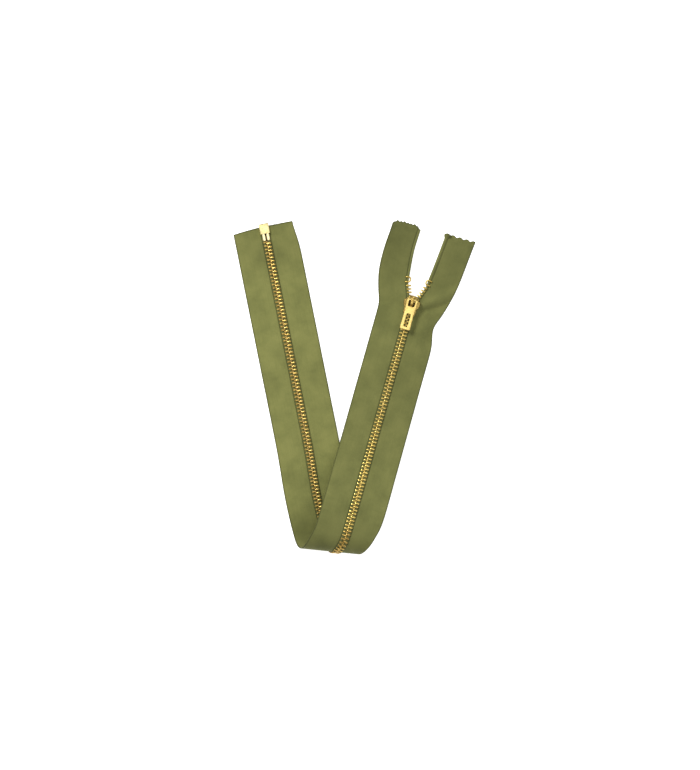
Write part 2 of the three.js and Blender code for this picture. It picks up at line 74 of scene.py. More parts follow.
# The sides above the slider, -1 the left: distance up the leg from the slider's centre, and distance from the
# centre line
OPENINGS = {-1: [(-3.2, 0), (3.4, 1.65), (11, 4.1), (41.4, 6.9)],
            1: [(-3.2, 0), (3.4, 1.65), (11, 4.2), (43, 7.5)]}
MOUTH = UPPER_LENGTH + 4.1  # above it the teeth are single pieces
TEETH_START = 8.6  # from the cut end at the box
PIVOT_S = UPPER_LENGTH - 68  # the point that each open side turns about
SEAM_S = 79.0  # where the folded length of each tape meets the length that opens

# ---------------------------------------------------------------- camera
camera = bpy.data.objects.new("camera", bpy.data.cameras.new("camera"))
bpy.context.collection.objects.link(camera)
bpy.context.scene.camera = camera
CAMERA_HEIGHT = 0.9
VIEW_WIDTH = 0.4312  # of the table, from edge to edge of the view
SENSOR_WIDTH = 36
camera.location = (-2.24 * MM, 1.12 * MM, CAMERA_HEIGHT)
camera.data.sensor_width = SENSOR_WIDTH
camera.data.lens = SENSOR_WIDTH * CAMERA_HEIGHT / VIEW_WIDTH
camera.data.clip_start, camera.data.clip_end = 0.01, 20

# ---------------------------------------------------------------- the zipper's course
STEP = 0.1  # along the chain, between two points of its centre line
SPINE_HALF = 2400  # steps each way from the middle of the fold
half_fold = FOLD_RADIUS * (math.pi + LANDING_SLOPE) / 2
# The angle between the chain and the crease's normal, by distance along the chain from the middle of the fold
HEADINGS = [(-LOWER_BEND - HOOK_FAR, LOWER_LEG_ANGLE + CREASE_TILT),
            (-LOWER_BEND - HOOK_NEAR, LOWER_LEG_ANGLE + CREASE_TILT - HOOK_ANGLE),
            (-0.6 * half_fold, FOLD_ANGLE),
            (0.6 * half_fold, FOLD_ANGLE),
            (UPPER_BEND, UPPER_LEG_ANGLE - CREASE_TILT)]
heading_s = [s for s, _ in HEADINGS]
heading_a = [a for _, a in HEADINGS]
# The chain's centre line on the unrolled sheet: along the crease, and across it
spine_s = np.arange(-SPINE_HALF, SPINE_HALF + 1) * STEP
middle = np.interp((spine_s[:-1] + spine_s[1:]) / 2, heading_s, heading_a)
spine_a = np.concatenate([[0], np.cumsum(STEP * np.sin(middle))])
spine_b = np.concatenate([[0], np.cumsum(STEP * np.cos(middle))])
spine_a -= spine_a[SPINE_HALF]
spine_b += FOLD_RADIUS * math.pi / 2 - spine_b[SPINE_HALF]
crease = np.array([math.cos(CREASE_TILT), -math.sin(CREASE_TILT)])
to_fold = np.array([-math.sin(CREASE_TILT), -math.cos(CREASE_TILT)])


def section(b):
    """The bent sheet's section: distance towards the fold, height, and the direction it runs in.

    Its four stretches are the lower leg, the round fold, a straight slope, and a curve that ends level.
    """
    r, slope = FOLD_RADIUS, LANDING_SLOPE
    arc = r * (math.pi + slope)
    n1, z1 = -r * math.sin(slope) - r, LOWER_Z + r * (1 + math.cos(slope))
    settle = LANDING_RADIUS * (1 - math.cos(slope))
    straight = (z1 - UPPER_Z - settle) / math.sin(slope)
    t = b - arc
    n2 = n1 - straight * math.cos(slope)
    slope_left = slope - np.clip((t - straight) / LANDING_RADIUS, 0, slope)
    n3 = (n2 - LANDING_RADIUS * (math.sin(slope) - np.sin(slope_left))
          - np.maximum(t - straight - LANDING_RADIUS * slope, 0))
    cases = [b < 0, b < arc, t < straight]
    n = np.select(cases, [b - r, r * np.sin(b / r) - r, n1 - t * math.cos(slope)], n3)
    z = np.select(cases, [LOWER_Z + 0 * b, LOWER_Z + r * (1 - np.cos(b / r)), z1 - t * math.sin(slope)],
                  UPPER_Z + LANDING_RADIUS * (1 - np.cos(slope_left)))
    turn = np.select(cases, [0 * b, b / r, math.pi + slope + 0 * b], math.pi + slope_left)
    return n, z, turn


def on_ribbon(s, v, h):
    """Points of the closed zipper: s along the chain, v across it, h out of its front face."""
    s, v, h = np.broadcast_arrays(*(np.asarray(x, float) for x in (s, v, h)))
    angle = np.interp(s, heading_s, heading_a)
    a = np.interp(s, spine_s, spine_a) + v * np.cos(angle)
    b = np.interp(s, spine_s, spine_b) - v * np.sin(angle)
    n, z, turn = section(b)
    n = n + h * np.sin(turn)
    x = -ORIGIN[0] + crease[0] * a + to_fold[0] * n
    y = -ORIGIN[1] + crease[1] * a + to_fold[1] * n
    return np.stack([x, y, z - h * np.cos(turn)], -1)


def smooth(x, low, high):
    """0 below low and 1 above high, with an S-shaped rise between them."""
    t = np.clip((np.asarray(x, float) - low) / (high - low), 0, 1)
    return t * t * (3 - 2 * t)


up = np.array([math.sin(UPPER_LEG_ANGLE), math.cos(UPPER_LEG_ANGLE)])
across = np.array([up[1], -up[0]])
slider_centre = on_ribbon(UPPER_LENGTH, 0, 0)[:2]


def on_leg(w, u, z):
    """Points beside the slider's centre: w across the upper leg, u up it, z above the table."""
    w, u, z = np.broadcast_arrays(*(np.asarray(x, float) for x in (w, u, z)))
    return np.stack([slider_centre[0] + up[0] * u + across[0] * w,
                     slider_centre[1] + up[1] * u + across[1] * w, z], -1)


def opening_line(points, side):
    """One open side's centre line by its length: a smooth curve through the points, run on past the last."""
    slopes = [0.0]
    for i in range(1, len(points)):
        q, o = points[min(i + 1, len(points) - 1)], points[i - 1]
        slopes.append((q[1] - o[1]) / (q[0] - o[0]))
    us, ws = [], []
    for i in range(1, len(points)):
        (u0, w0), (u1, w1) = points[i - 1], points[i]
        t = np.linspace(0, 1, 41)[0 if i == 1 else 1:]
        d = u1 - u0
        us.append(u0 + t * d)
        ws.append((2 * t**3 - 3 * t**2 + 1) * w0 + (t**3 - 2 * t**2 + t) * d * slopes[i - 1]
                  + (3 * t**2 - 2 * t**3) * w1 + (t**3 - t**2) * d * slopes[i])
    u, w = np.concatenate(us), side * np.concatenate(ws)
    u = np.append(u, u[-1] + 8)
    w = np.append(w, w[-1] + 8 * side * slopes[-1])
    length = np.concatenate([[0], np.cumsum(np.hypot(np.diff(u), np.diff(w)))])
    angle = np.arctan2(np.diff(w), np.diff(u))
    return {"u": u, "w": w, "length": length, "mid": (length[1:] + length[:-1]) / 2, "angle": angle,
            "end": SPLIT + length[-2]}


lines = {side: opening_line(points, side) for side, points in OPENINGS.items()}


def side_place(side, s, v, h):
    """Points of one side, v measured outwards from its centre line, which is its own above the split."""
    s, v, h = np.broadcast_arrays(*(np.asarray(x, float) for x in (s, v, h)))
    closed = on_ribbon(np.minimum(s, SPLIT), side * v, h)
    line = lines[side]
    past = np.maximum(s - SPLIT, 0)
    angle = np.interp(past, line["mid"], line["angle"]) * np.clip(past / 0.4, 0, 1)
    u = np.interp(past, line["length"], line["u"]) - side * v * np.sin(angle)
    w = np.interp(past, line["length"], line["w"]) + side * v * np.cos(angle)
    return np.where((s > SPLIT)[..., None], on_leg(w, u, UPPER_Z + h), closed)


EASE_START = 110


def ease_edge(side):
    """How far a tape's outer edge is pulled straight where its side turns away from the chain, in x and y."""
    s = np.arange(EASE_START, 200, 0.25)
    edge = side_place(side, s, TAPE_OUTER, 0)[:, :2]
    soft = edge.copy()
    for _ in range(420):
        soft[1:-1] = (soft[:-2] + soft[2:]) / 2
    window = smooth(s, 112, 130) * (1 - smooth(s, 172, 186))
    return s, (soft - edge)[:, 0] * window, (soft - edge)[:, 1] * window


edge_ease = {side: ease_edge(side) for side in (-1, 1)}


def on_side(side, s, v, h):
    """Points of one side, as side_place gives them, with the tape's outer edge pulled straight."""
    place = side_place(side, s, v, h)
    s, v = np.broadcast_arrays(np.asarray(s, float), np.asarray(v, float))
    share = np.clip(v / TAPE_OUTER, 0, 1.02) ** 1.4 * (s > EASE_START)
    if not share.any():
        return place
    along, ease_x, ease_y = edge_ease[side]
    eased = np.stack([np.interp(s, along, ease_x), np.interp(s, along, ease_y)], -1)
    place[..., :2] += share[..., None] * eased
    return place


def on_box_end(v, p, h):
    """Points at the box end: p from the cut end along the chain, v across, h out of the front face."""
    return on_ribbon(np.asarray(p, float) - LOWER_LENGTH, v, h)


# ---------------------------------------------------------------- mesh makers
def add_mesh(name, points, faces, smooth_angle=35, cloth=None):
    """A closed mesh from points in mm, its faces turned outwards. Cloth also gets its place on the tape."""
    points = np.asarray(points, float)
    volume = 0.0
    for f in faces:
        a = points[f[0]]
        for i in range(2, len(f)):
            volume += float(np.dot(a, np.cross(points[f[i - 1]], points[f[i]])))
    if volume < 0:
        faces = [tuple(reversed(f)) for f in faces]
    data = bpy.data.meshes.new(name)
    data.from_pydata([tuple(p) for p in points * MM], [], [tuple(map(int, f)) for f in faces])
    data.validate()
    data.update()
    data.shade_smooth()
    data.set_sharp_from_angle(angle=math.radians(smooth_angle))
    if cloth is not None:
        attribute = data.attributes.new("cloth", "FLOAT_VECTOR", "POINT")
        attribute.data.foreach_set("vector", np.asarray(cloth, np.float32).ravel())
    obj = bpy.data.objects.new(name, data)
    bpy.context.collection.objects.link(obj)
    return obj


def ring_faces(count, rings, start=0, caps=True):
    """Faces of a bar through rings that have the same number of corners."""
    faces = []
    for i in range(rings - 1):
        a, b = start + i * count, start + (i + 1) * count
        for k in range(count):
            n = (k + 1) % count
            faces.append((a + k, a + n, b + n, b + k))
    if caps:
        faces.append(tuple(reversed(range(start, start + count))))
        faces.append(tuple(range(start + (rings - 1) * count, start + rings * count)))
    return faces


def inset(points, distance):
    """A closed outline moved inwards; it runs counter-clockwise, and a hole's outline clockwise."""
    p = np.asarray(points, float)
    before, after = p - np.roll(p, 1, 0), np.roll(p, -1, 0) - p
    before /= np.maximum(np.linalg.norm(before, axis=1, keepdims=True), 1e-9)
    after /= np.maximum(np.linalg.norm(after, axis=1, keepdims=True), 1e-9)
    n0, n1 = np.stack([-before[:, 1], before[:, 0]], 1), np.stack([-after[:, 1], after[:, 0]], 1)
    n = n0 + n1
    n /= np.maximum(np.linalg.norm(n, axis=1, keepdims=True), 1e-9)
    stretch = 1 / np.maximum((n * n0).sum(1, keepdims=True), 0.6)
    return p + distance * n * stretch


def area(points):
    """The area inside an outline, negative if it runs clockwise."""
    p = np.asarray(points, float)
    q = np.roll(p, -1, 0)
    return float((p[:, 0] * q[:, 1] - q[:, 0] * p[:, 1]).sum() / 2)


def resample(points, spacing):
    """An outline with more points between its corners, which keeps its corners."""
    p = np.asarray(points, float)
    out = []
    for i in range(len(p)):
        a, b = p[i], p[(i + 1) % len(p)]
        count = max(1, int(round(np.linalg.norm(b - a) / spacing)))
        out += [a + (b - a) * k / count for k in range(count)]
    return np.array(out)


def round_corners(points, radii, segments=5):
    """An outline with each corner rounded by its own radius."""
    p = np.asarray(points, float)
    if np.isscalar(radii):
        radii = [radii] * len(p)
    out = []
    for i, r in enumerate(radii):
        a, c, b = p[i - 1], p[i], p[(i + 1) % len(p)]
        u, w = (a - c) / np.linalg.norm(a - c), (b - c) / np.linalg.norm(b - c)
        half = math.acos(max(-1, min(1, float(np.dot(u, w))))) / 2
        room = 0.48 * min(np.linalg.norm(a - c), np.linalg.norm(b - c))
        setback = min(r / max(math.tan(half), 1e-3), room)
        if setback < 1e-3:
            out.append(c)
            continue
        start, end = c + u * setback, c + w * setback
        for k in range(segments + 1):
            t = k / segments
            out.append((1 - t) ** 2 * start + 2 * t * (1 - t) * c + t * t * end)
    return np.array(out)


def plate(outline, low, high, edge, holes=(), steps=3):
    """A plate with rounded edges and holes, from low to high: points as (x, y, height), and faces."""
    loops = [np.asarray(outline, float)] + [np.asarray(h, float) for h in holes]
    loops = [q if (area(q) > 0) == (i == 0) else q[::-1] for i, q in enumerate(loops)]
    points, faces, ends = [], [], []
    for loop in loops:
        start, n = len(points), len(loop)
        levels = [(edge * (1 - math.cos(k * math.pi / 2 / steps)), edge * math.sin(k * math.pi / 2 / steps))
                  for k in range(steps + 1)]
        rings = [(i, low + edge - z) for i, z in reversed(levels)] + [(i, high - edge + z) for i, z in levels]
        for amount, z in rings:
            ring = inset(loop, amount)
            points += [(x, y, z) for x, y in ring]
        faces += ring_faces(n, len(rings), start, caps=False)
        ends.append((list(range(start, start + n)),
                     list(range(start + (len(rings) - 1) * n, start + len(rings) * n))))
    for which in (0, 1):
        index = [i for e in ends for i in e[which]]
        lists = [[Vector((points[i][0], points[i][1], 0)) for i in e[which]] for e in ends]
        for t in geometry.tessellate_polygon(lists):
            tri = [index[k] for k in t]
            flat = [points[k] for k in tri]
            turn = ((flat[1][0] - flat[0][0]) * (flat[2][1] - flat[0][1])
                    - (flat[2][0] - flat[0][0]) * (flat[1][1] - flat[0][1]))
            if (turn > 0) != (which == 1):
                tri.reverse()
            faces.append(tuple(tri))
    return np.array(points), faces


def together(parts):
    """Several (points, faces) as one."""
    points, faces, base = [], [], 0
    for p, f in parts:
        points.append(np.asarray(p, float))
        faces += [tuple(i + base for i in face) for face in f]
        base += len(p)
    return np.concatenate(points), faces


def tube(path, radius, sides=10):
    """A round wire along a path of points, with tapered ends."""
    path = np.asarray(path, float)
    tangent = np.gradient(path, axis=0)
    tangent /= np.linalg.norm(tangent, axis=1, keepdims=True)
    side = np.cross(tangent[0], (0, 0, 1))
    if np.linalg.norm(side) < 1e-3:
        side = np.cross(tangent[0], (0, 1, 0))
    rings = []
    sizes = np.full(len(path), radius)
    sizes[[0, -1]] *= 0.35
    for p, t, r in zip(path, tangent, sizes):
        side = side - t * np.dot(side, t)
        side /= np.linalg.norm(side)
        other = np.cross(t, side)
        for k in range(sides):
            a = 2 * math.pi * k / sides
            rings.append(p + r * (math.cos(a) * side + math.sin(a) * other))
    return np.array(rings), ring_faces(sides, len(path))


# ---------------------------------------------------------------- materials
def material(name):
    """A new material, its shader, and the two calls that add a node and a link to it."""
    m = bpy.data.materials.new(name)
    m.use_nodes = True
    tree = m.node_tree
    shader = tree.nodes["Principled BSDF"]

    def node(kind, **settings):
        n = tree.nodes.new(kind)
        for key, value in settings.items():
            if key in n.inputs:
                n.inputs[key].default_value = value
            else:
                setattr(n, key, value)
        return n

    return m, shader, node, tree.links.new


def ramp_of(node, link, source, stops):
    """The colours of the stops, by the source's value."""
    r = node("ShaderNodeValToRGB")
    link(source, r.inputs["Fac"])
    elements = r.color_ramp.elements
    while len(elements) < len(stops):
        elements.new(0.5)
    for e, (at, colour) in zip(elements, stops):
        e.position, e.color = at, (*colour, 1)
    return r.outputs["Color"]


def math_of(node, link, operation, *values):
    """A sum, a product or another operation on numbers and sockets."""
    n = node("ShaderNodeMath", operation=operation)
    for socket, value in zip(n.inputs, values):
        if isinstance(value, (int, float)):
            socket.default_value = value
        else:
            link(value, socket)
    return n.outputs[0]


def mix_of(node, link, factor, a, b, blend="MIX"):
    """Two colours mixed or multiplied."""
    n = node("ShaderNodeMix", data_type="RGBA", blend_type=blend)
    for socket, value in ((n.inputs["Factor"], factor), (n.inputs[6], a), (n.inputs[7], b)):
        if isinstance(value, (int, float)):
            socket.default_value = value
        elif isinstance(value, tuple):
            socket.default_value = (*value, 1)
        else:
            link(value, socket)
    return n.outputs[2]


def brass(name, light, dark, roughness, wear):
    """Brass with fine scratches, a cloudy patina, and hollows darker than its worn edges."""
    m, shader, node, link = material(name)
    place = node("ShaderNodeTexCoord").outputs["Object"]
    cloud = node("ShaderNodeTexNoise", Scale=900.0, Detail=4.0, Roughness=0.6)
    link(place, cloud.inputs["Vector"])
    patina = ramp_of(node, link, cloud.outputs["Fac"], [(0.36, dark), (0.62, light)])
    edge = ramp_of(node, link, node("ShaderNodeNewGeometry").outputs["Pointiness"],
                   [(0.47, (0.55, 0.52, 0.45)), (0.505, (1, 1, 1))])
    colour = mix_of(node, link, wear, patina, edge, "MULTIPLY")
    link(colour, shader.inputs["Base Color"])
    fine = node("ShaderNodeTexNoise", Scale=5200.0, Detail=3.0)
    link(place, fine.inputs["Vector"])
    rough = node("ShaderNodeMapRange")
    link(fine.outputs["Fac"], rough.inputs["Value"])
    rough.inputs["To Min"].default_value = roughness - 0.07
    rough.inputs["To Max"].default_value = roughness + 0.12
    link(rough.outputs["Result"], shader.inputs["Roughness"])
    stretch = node("ShaderNodeMapping")
    stretch.inputs["Scale"].default_value = (9000, 900, 9000)
    link(place, stretch.inputs["Vector"])
    scratch = node("ShaderNodeTexNoise", Scale=1.0, Detail=2.0)
    link(stretch.outputs["Vector"], scratch.inputs["Vector"])
    bump = node("ShaderNodeBump", Strength=0.12, Distance=0.00004)
    link(scratch.outputs["Fac"], bump.inputs["Height"])
    link(bump.outputs["Normal"], shader.inputs["Normal"])
    shader.inputs["Metallic"].default_value = 1.0
    return m


FACE = 1.0  # the cloth attribute's third number: this plus the distance to the cut end, negative on the back


def cloth_material():
    """Olive twill: fine ribs along the tape, crossed by the weft, with soft mottling and a darker edge."""
    m, shader, node, link = material("olive_tape")
    where = node("ShaderNodeAttribute", attribute_name="cloth").outputs["Vector"]
    apart = node("ShaderNodeSeparateXYZ")
    link(where, apart.inputs["Vector"])
    over, along = apart.outputs["X"], apart.outputs["Y"]

    def op(kind, *values):
        return math_of(node, link, kind, *values)

    rib = op("MULTIPLY", over, 1 / 0.62)
    column = op("FLOOR", rib)
    shift = op("MULTIPLY", op("MODULO", column, 2.0), 0.5)
    ridge = op("ABSOLUTE", op("SINE", op("MULTIPLY", rib, math.pi)))
    crossing = op("ADD", op("MULTIPLY", along, 1 / 0.56), shift)
    weft = op("ABSOLUTE", op("SINE", op("MULTIPLY", crossing, math.pi)))
    thread = op("MULTIPLY", ridge, op("ADD", op("MULTIPLY", weft, 0.55), 0.45))
    fuzz = node("ShaderNodeTexNoise", Scale=6.0, Detail=4.0, Roughness=0.7)
    link(where, fuzz.inputs["Vector"])
    height = op("ADD", op("MULTIPLY", thread, 0.75), op("MULTIPLY", fuzz.outputs["Fac"], 0.5))
    bump = node("ShaderNodeBump", Strength=0.5, Distance=0.00012)
    link(height, bump.inputs["Height"])
    link(bump.outputs["Normal"], shader.inputs["Normal"])

    cloud = node("ShaderNodeTexNoise", Scale=0.065, Detail=6.0, Roughness=0.6)
    link(where, cloud.inputs["Vector"])
    base = ramp_of(node, link, cloud.outputs["Fac"],
                   [(0.36, (0.162, 0.169, 0.050)), (0.5, (0.198, 0.204, 0.061)),
                    (0.62, (0.226, 0.229, 0.070))])
    streak = node("ShaderNodeMapping")
    streak.inputs["Scale"].default_value = (2.2, 0.05, 1.0)
    link(where, streak.inputs["Vector"])
    streaks = node("ShaderNodeTexNoise", Scale=1.0, Detail=2.0)
    link(streak.outputs["Vector"], streaks.inputs["Vector"])
    streaky = ramp_of(node, link, streaks.outputs["Fac"],
                      [(0.3, (0.86, 0.88, 0.84)), (0.7, (1.1, 1.1, 1.08))])
    base = mix_of(node, link, 0.35, base, streaky, "MULTIPLY")
    depth = ramp_of(node, link, thread, [(0.0, (0.72, 0.72, 0.7)), (0.55, (1.04, 1.04, 1.04))])
    base = mix_of(node, link, 0.55, base, depth, "MULTIPLY")
    # Painted shade in the groove beside the bead
    groove = ramp_of(node, link, op("ABSOLUTE", op("SUBTRACT", over, 2.45)),
                     [(0.0, (0.25, 0.26, 0.22)), (0.12, (0.45, 0.46, 0.42)), (0.5, (1, 1, 1))])
    base = mix_of(node, link, 0.9, base, groove, "MULTIPLY")
    # Painted shade where the tape is folded, and the tape coloured darker towards its ends
    fold_shade_and_end_darkening = ramp_of(node, link, op("MULTIPLY", op("ABSOLUTE", along), 1 / 200),
                   [(0.075, (0.76, 0.76, 0.74)), (0.186, (1, 1, 1)),
                    (0.77, (1, 1, 1)), (0.88, (0.84, 0.84, 0.83))])
    base = mix_of(node, link, 1.0, base, fold_shade_and_end_darkening, "MULTIPLY")
    to_end = op("SUBTRACT", op("ABSOLUTE", apart.outputs["Z"]), FACE)
    rim = ramp_of(node, link, op("MINIMUM", op("SUBTRACT", TAPE_OUTER, over), to_end),
                  [(0.0, (0.2, 0.21, 0.15)), (0.3, (0.4, 0.42, 0.34)), (0.85, (1, 1, 1))])
    base = mix_of(node, link, 0.85, base, rim, "MULTIPLY")
    # Painted shade: the cord between the closed teeth is coloured near black, standing in for the shadow in
    # the chain's gaps
    between_teeth_shade = op("MULTIPLY", op("LESS_THAN", over, 2.3), op("LESS_THAN", along, MOUTH))
    gap_shade_strength = op("ADD", op("MULTIPLY", op("LESS_THAN", over, 1.1), 0.6), 0.28)
    base = mix_of(node, link, op("MULTIPLY", between_teeth_shade, gap_shade_strength), base, (0.022, 0.018, 0.008))
    # The front is coloured a little darker than the back
    face = op("GREATER_THAN", apart.outputs["Z"], 0.0)
    base = mix_of(node, link, op("MULTIPLY", face, 0.29), base, (0.06, 0.066, 0.02))
    link(base, shader.inputs["Base Color"])
    shader.inputs["Roughness"].default_value = 0.88
    shader.inputs["Specular IOR Level"].default_value = 0.25
    shader.inputs["Sheen Weight"].default_value = 0.12
    shader.inputs["Sheen Roughness"].default_value = 0.45
    shader.inputs["Sheen Tint"].default_value = (0.85, 0.88, 0.62, 1)
    return m


def steel():
    """Spring steel, brushed across its length."""
    m, shader, node, link = material("spring_steel")
    place = node("ShaderNodeTexCoord").outputs["Object"]
    brushed = node("ShaderNodeMapping")
    brushed.inputs["Scale"].default_value = (1500, 12000, 1500)
    link(place, brushed.inputs["Vector"])
    grain = node("ShaderNodeTexNoise", Scale=1.0, Detail=3.0)
    link(brushed.outputs["Vector"], grain.inputs["Vector"])
    grey = ramp_of(node, link, grain.outputs["Fac"], [(0.3, (0.42, 0.40, 0.36)), (0.7, (0.62, 0.6, 0.55))])
    link(grey, shader.inputs["Base Color"])
    bump = node("ShaderNodeBump", Strength=0.15, Distance=0.00003)
    link(grain.outputs["Fac"], bump.inputs["Height"])
    link(bump.outputs["Normal"], shader.inputs["Normal"])
    shader.inputs["Metallic"].default_value = 1.0
    shader.inputs["Roughness"].default_value = 0.34
    return m


TAPE = cloth_material()
TOOTH_BRASS = brass("tooth_brass", (0.74, 0.56, 0.16), (0.48, 0.33, 0.08), 0.27, 0.6)
# A darker copy of the tooth brass: painted shade on the teeth round the fold, and also used for the lower
# leg's teeth
BACK_AND_FOLD_SHADE_BRASS = brass("tooth_brass_back_and_fold_shade", (0.60, 0.42, 0.12), (0.33, 0.21, 0.05), 0.27, 0.6)
BODY_BRASS = brass("body_brass", (0.52, 0.37, 0.105), (0.33, 0.22, 0.058), 0.22, 0.8)
# A darker copy of the body brass: painted shade on the slider's shell and the box's lip
SHADED_SHELL_BRASS = brass("shell_brass_painted_shade", (0.32, 0.235, 0.07), (0.18, 0.12, 0.032), 0.24, 0.8)
PULL_BRASS = brass("pull_brass", (0.82, 0.63, 0.22), (0.68, 0.49, 0.15), 0.3, 0.5)
BOX_BRASS = brass("box_brass", (0.90, 0.77, 0.40), (0.76, 0.62, 0.26), 0.34, 0.45)
PIN_BRASS = brass("pin_brass", (0.96, 0.86, 0.52), (0.84, 0.70, 0.34), 0.3, 0.3)
# Near-black brass: painted shade, for plates set under openings and gaps
SHADE_PLATE_BRASS = brass("recess_painted_shade", (0.10, 0.07, 0.025), (0.035, 0.024, 0.01), 0.55, 0.4)
STEEL = steel()


def finish_piece(obj, body, slot, look, *nodes):
    """A piece's material, the CAD nodes that it stands for, and the body that it rides on; the slot is not
    used.
    """
    obj.data.materials.append(look)
    if nodes:
        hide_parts(*nodes)
    if body:
        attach(obj, body)
    return obj


# ---------------------------------------------------------------- the tapes
def cloth_height(side, s, v):
    """How far the tape hangs below the chain's middle plane or rises over it, measured out of its front."""
    out = np.clip((v - 2.5) / (TAPE_OUTER - 2.5), 0, 1)
    lower, upper = 1 - smooth(s, -84, -50), smooth(s, 74, 104)
    near_slider = np.exp(-(((s - 147) / 17) ** 2))
    power = 1.35 - 0.75 * near_slider
    hang = 0.84 * lower * out**1.3 + 1.88 * upper * out**power
    long_wave = 0.5 + 0.5 * np.sin(2 * math.pi * s / 43 + 1.3 * side)
    wave = long_wave * (0.5 + 0.5 * np.sin(2 * math.pi * s / 27 - side))
    rise = (lower * 0.5 + upper * 0.75) * wave * out**1.5
    body = smooth(v, 2.4, 5.5)
    # Puckers run out from the slider, two in the right tape and one in the left
    if side > 0:
        line = s - (147.4 + 1.02 * (v - 4.75))
        pucker = -0.7 * np.exp(-((line / 3.0) ** 2)) + 1.0 * np.exp(-(((line - 6.5) / 4.0) ** 2))
        pucker = pucker * smooth(v, 2, 9)
        line = s - (136 + 0.55 * (v - 4))
        pucker += 0.7 * np.exp(-((line / 5.0) ** 2)) * smooth(v, 5, 12)
    else:
        line = s - (151 + 1.3 * (v - 4))
        pucker = 0.35 * np.exp(-((line / 3.0) ** 2)) * smooth(v, 4, 9)
    rise = rise + pucker * body
    sink = 1.45 * smooth(s, 170, 193)
    hang = hang * (1 - sink / 1.9)
    return np.where(s > 20, np.maximum(rise - hang - sink, -1.9), -(rise - hang) * (s < -20))


def rolled(side, s, v, h):
    """The free left end leans in, its outer edge off the table. The right tape's outer edge is drawn in."""
    if side < 0:
        lean, lift = (math.radians(a) * smooth(s, 150, 190) for a in (15, 22))
        out = np.maximum(v - 1.7, 0)
        bulge = 1.1 * np.exp(-(((s - 168) / 12) ** 2)) * (out / TAPE_OUTER) ** 2
        return v + bulge - out * (1 - np.cos(lean)) - 1.5 * smooth(s, 172, 196) ** 2, h + out * np.sin(lift)
    drawn = (5.4 * np.exp(-(((s - 6) / 13) ** 2)) + 2.0 * np.exp(-(((s - 140) / 7) ** 2))
             + 1.5 * np.exp(-(((s + LOWER_LENGTH) / 10) ** 2)))
    return v - drawn * (np.clip(v, 0, None) / TAPE_OUTER) ** 2, h


def end_of(side, v):
    """Where a tape ends above the slider: a pinked edge, the left one with its corners cut off."""
    end = lines[side]["end"]
    if side < 0:
        pinks = 0.6 * np.abs(np.sin(math.pi * (v + 0.4) / 2.05)) + 0.18 * np.sin(2 * math.pi * v / 4.6 + side)
        corners = 2.4 * (1 - smooth(v, 0.6, 4.6)) + 2.2 * smooth(v, 14.6, TAPE_OUTER + 1.2)
        return end + 0.9 + pinks - corners - 0.6 * np.exp(-(((v - 6.4) / 0.7) ** 2))
    pinks = 1.0 * np.abs(np.sin(math.pi * (v + 0.9) / 3.9))
    return end - 1.1 + pinks + 1.5 * (v / TAPE_OUTER) ** 1.5 - 0.9 * (1 - smooth(v, 0.9, 1.7))


# One tape's section, across it and out of its front: a round bead on the inner edge, then flat cloth
bead = [(1.58 + 0.64 * math.cos(math.radians(a)), 0.5 * math.sin(math.radians(a)))
        for a in (180, 160, 140, 118, 95, 72, 50, 30)]
flat = [(2.3, 0.17), (2.45, 0.16), (2.65, 0.23)]
flat += [(v, 0.25) for v in np.arange(3.0, 16.9, 0.4)]
flat += [(17.1, 0.27), (17.35, 0.29), (17.56, 0.24), (17.67, 0.13), (TAPE_OUTER, 0.0)]
front = bead + flat
back = [(v, -h) for v, h in reversed(front[1:-1])]
profile = np.array(front + back)


def tape_mesh(name, side, stations, last):
    """One length of tape. The last one's final stations follow the pinked end."""
    rows, cloth = [], []
    v, h = profile[:, 0], profile[:, 1]
    for s in stations:
        here = np.full_like(v, s)
        grow, curl = np.ones_like(v), 0.0
        # The left tape is cut slightly askew at the box
        if side < 0 and s < 8 - LOWER_LENGTH:
            here = s + (8 - LOWER_LENGTH - s) / 8 * 1.2 * (v / TAPE_OUTER) ** 1.5
        # Past the teeth the bead is looser, and the right one curls up at its end
        if last:
            start = lines[side]["end"] - 7.0
            t = max(0.0, (s - start) / 7.0)
            here = start + t * (end_of(side, v) - start) if s > start else here
            loose = (0.42 if side > 0 else 0.12) * smooth(s, MOUTH + 8, MOUTH + 13)
            curl = 1.1 * smooth(s, lines[side]["end"] - 3.0, lines[side]["end"] - 1.0) if side > 0 else 0
            grow = 1 + (loose + curl) * (v < 2.6)
        # Between closed teeth the bead is fuller, and fills the middle of the chain, where it carries the
        # painted shade between the teeth
        inner = 0.86 * (1 - smooth(s, MOUTH - 2, MOUTH + 1)) * np.clip((1.6 - v) / 0.65, 0, 1)
        vv = np.where(v < 2.6, 1.7 + (v - 1.7) * grow, v) - inner
        hh = h * grow + cloth_height(side, here, vv) + 0.6 * curl * (v < 2.6)
        vv, hh = rolled(side, here, vv, hh)
        rows.append(on_side(side, here, vv, hh))
        to_end = np.minimum(end_of(side, v) - here, s + LOWER_LENGTH)
        cloth.append(np.stack([v, here, (FACE + np.clip(to_end, 0, 5)) * np.where(h >= 0, 1, -1)], 1))
    points = np.concatenate(rows)
    n = len(v)
    faces = ring_faces(n, len(stations), caps=False)
    half = len(front)
    for row, flip in ((0, True), (len(stations) - 1, False)):
        base = row * n
        for k in range(half - 1):
            a, b = base + k, base + k + 1
            c, d = base + (n - k - 1) % n, base + (n - k) % n
            quad = (a, b, c) if k == 0 else ((a, b, d) if k == half - 2 else (a, b, c, d))
            faces.append(tuple(reversed(quad)) if flip else quad)
    return add_mesh(name, points, faces, 50, np.concatenate(cloth))


def tape_stations(low, high):
    """Places along a tape, closer together round the fold and near the slider."""
    stations = [low]
    while stations[-1] < high - 0.3:
        s = stations[-1]
        fine = -45 < s < 40 or s > 134
        stations.append(min(s + (0.75 if fine else 1.5), high))
    return stations


